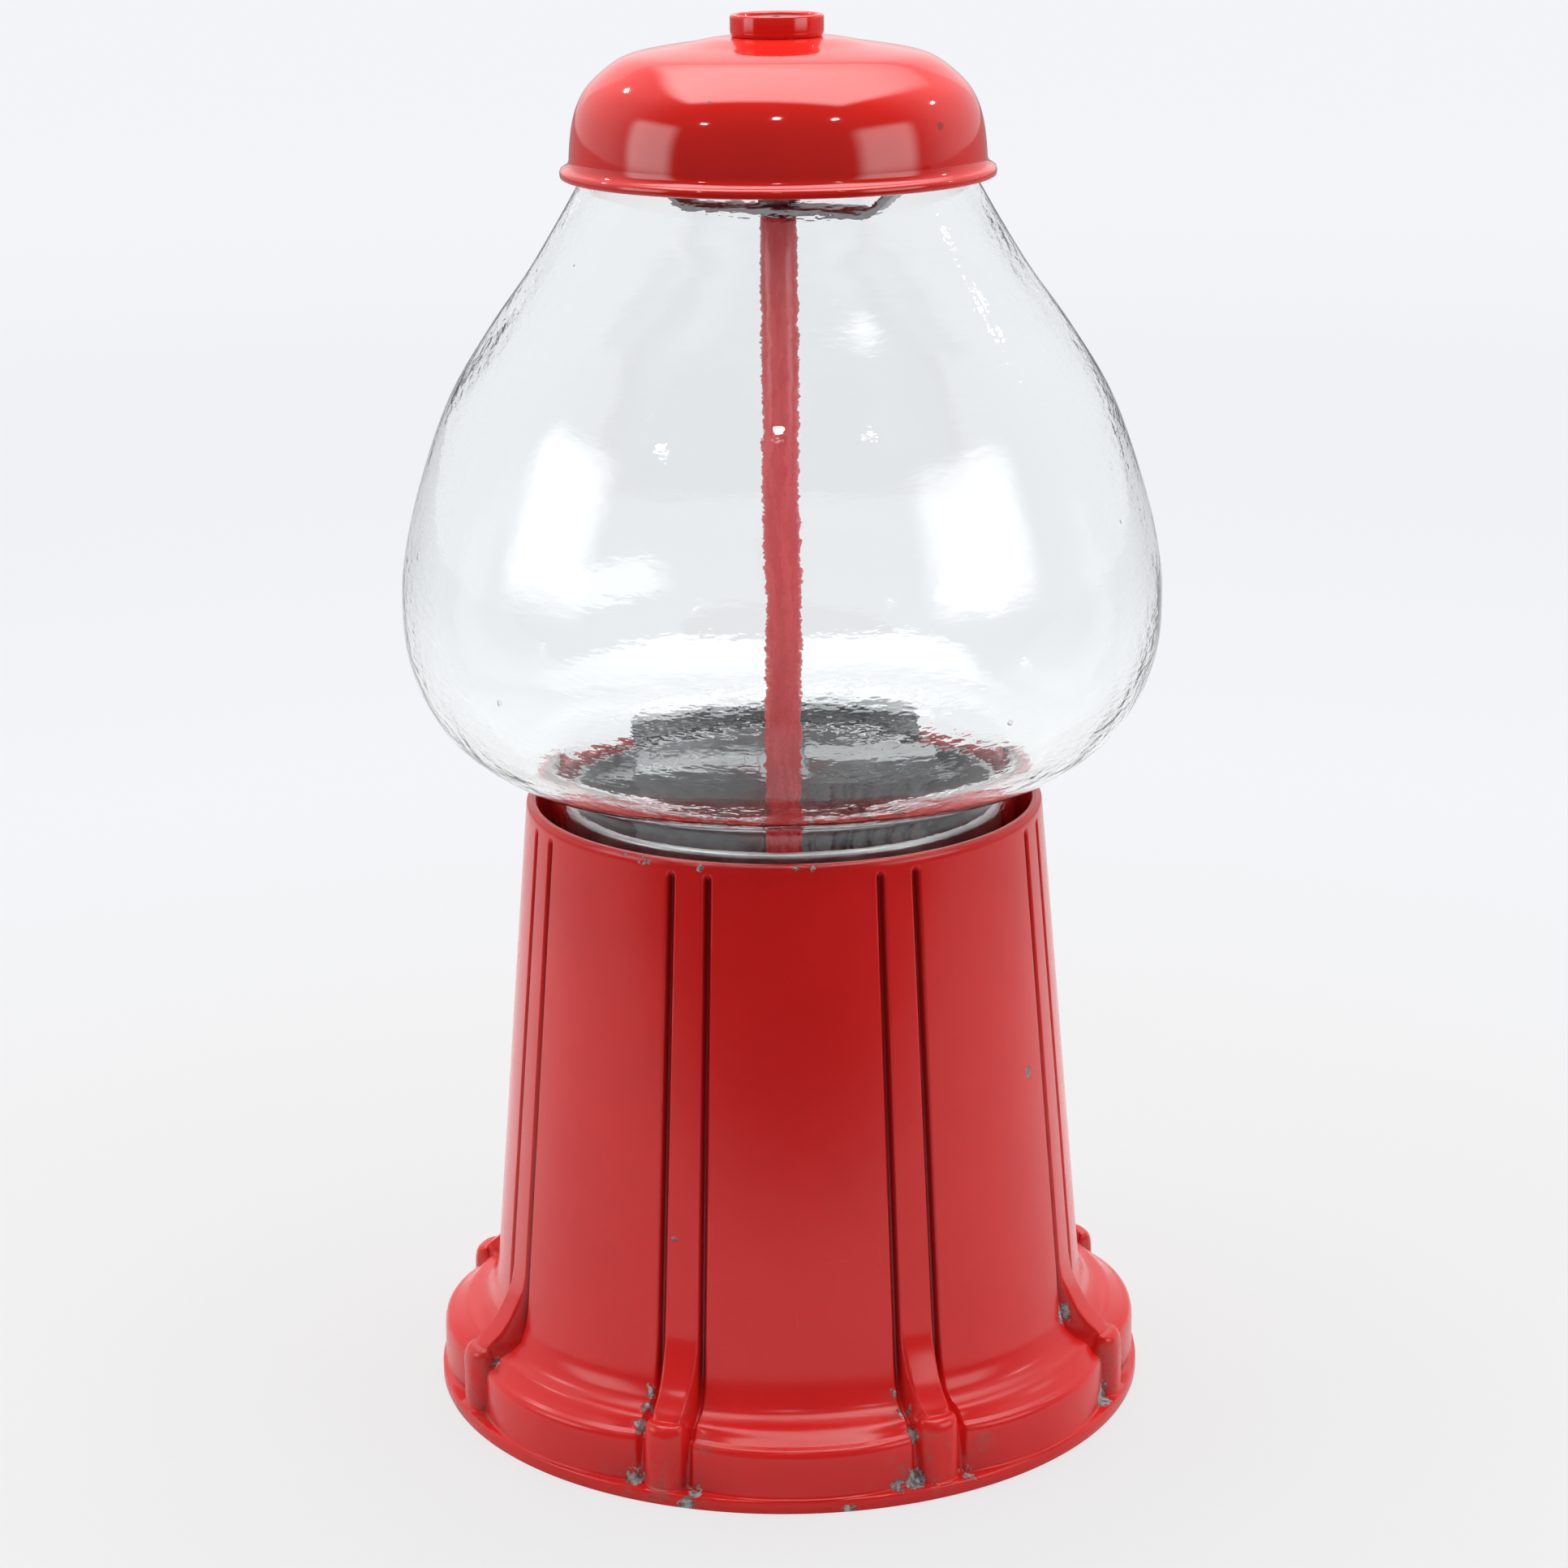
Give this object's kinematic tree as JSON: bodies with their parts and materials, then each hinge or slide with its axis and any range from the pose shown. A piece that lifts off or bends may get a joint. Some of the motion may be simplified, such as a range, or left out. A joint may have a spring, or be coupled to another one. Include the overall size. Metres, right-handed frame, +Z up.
{
  "type": "gumball machine",
  "caption": "Table-top gumball machine: glass globe under a lockable red lid, on a ribbed red cast pedestal with a coin mechanism, turning knob and chute door.",
  "frame": {"origin": "on the floor under the centre rod, at the middle of the pedestal's bottom flange", "axes": "+Z up along the centre rod; the coin mechanism, knob and chute door face -Y; +X is to the right as seen from the front"},
  "size_m": [0.2134, 0.2134, 0.394],
  "materials": {
    "red_enamel": "thick glossy red enamel over a casting, chipped to grey metal at edges",
    "lid_enamel": "smooth high-gloss red enamel",
    "rod_enamel": "glossy red enamel, slightly worn",
    "zinc_casting": "dull grey die casting, scuffed on its edges",
    "chrome_plate": "bright plated, finely scratched",
    "plain_steel": "zinc-plated steel",
    "brass": "machined brass, dulled",
    "clear_glass": "clear blown glass, slightly wavy",
    "black_rubber": "matt black sealing ring"
  },
  "bodies": {
    "base": {"pedestal_shell": "red_enamel", "base_plate": "plain_steel", "rod_washer": "plain_steel", "base_nut": "plain_steel", "spacer_tube": "plain_steel", "centre_rod": "rod_enamel", "glass_globe": "clear_glass", "globe_gasket": "black_rubber", "globe_bracket": "zinc_casting", "bracket_nut": "plain_steel", "hopper": "zinc_casting", "ball_guard": "zinc_casting", "drop_plate": "zinc_casting", "mechanism_housing": "zinc_casting", "face_plate": "chrome_plate", "face_plate_screw_1": "plain_steel", "face_plate_screw_2": "plain_steel", "face_plate_screw_3": "plain_steel", "face_plate_screw_4": "plain_steel", "knob_escutcheon": "chrome_plate", "front_bushing": "brass", "coin_guide": "zinc_casting", "pawl_pin": "plain_steel", "pawl_spring": "plain_steel", "bearing_plate": "plain_steel", "ball_chute": "zinc_casting", "chute_frame": "chrome_plate", "door_pin": "plain_steel"},
    "lid": {"lid": "lid_enamel", "lid_collar": "lid_enamel", "collar_nut": "plain_steel"},
    "lock": {"lock_core": "plain_steel"},
    "wheel": {"dispensing_wheel": "zinc_casting"},
    "coin_drive": {"coin_shaft": "plain_steel", "knob": "chrome_plate", "coin_carrier": "zinc_casting", "carrier_nut": "plain_steel", "ratchet_wheel": "plain_steel", "pinion": "brass"},
    "pawl": {"pawl": "plain_steel"},
    "door": {"chute_door": "chrome_plate"}
  },
  "joints": [
    {"name": "lid_lift", "type": "slide", "parent": "base", "child": "lid", "axis": [0, 0, 1], "range_m": [0, 0.08]},
    {"name": "lock_turn", "type": "hinge", "parent": "lid", "child": "lock", "pos_m": [0, 0, 0.38], "axis": [0, 0, 1], "continuous": true},
    {"name": "knob_turn", "type": "hinge", "parent": "base", "child": "coin_drive", "pos_m": [0, -0.09, 0.1238], "axis": [0, 1, 0], "continuous": true},
    {"name": "wheel_turn", "type": "hinge", "parent": "base", "child": "wheel", "pos_m": [0, 0, 0.14], "axis": [0, 0, 1], "continuous": true},
    {"name": "pawl_swing", "type": "hinge", "parent": "base", "child": "pawl", "pos_m": [0.024, -0.0605, 0.108], "axis": [0, 1, 0], "range_deg": [-9.5, 4.5], "stiffness_Nm_per_rad": 0.02, "springref_deg": -17.19},
    {"name": "door_swing", "type": "hinge", "parent": "base", "child": "door", "pos_m": [0, -0.0904, 0.061], "axis": [-1, 0, 0], "range_deg": [0, 70]}
  ],
  "couplings": [
    {"joint": "wheel_turn", "follows": "knob_turn", "ratio": 0.16667}
  ]
}
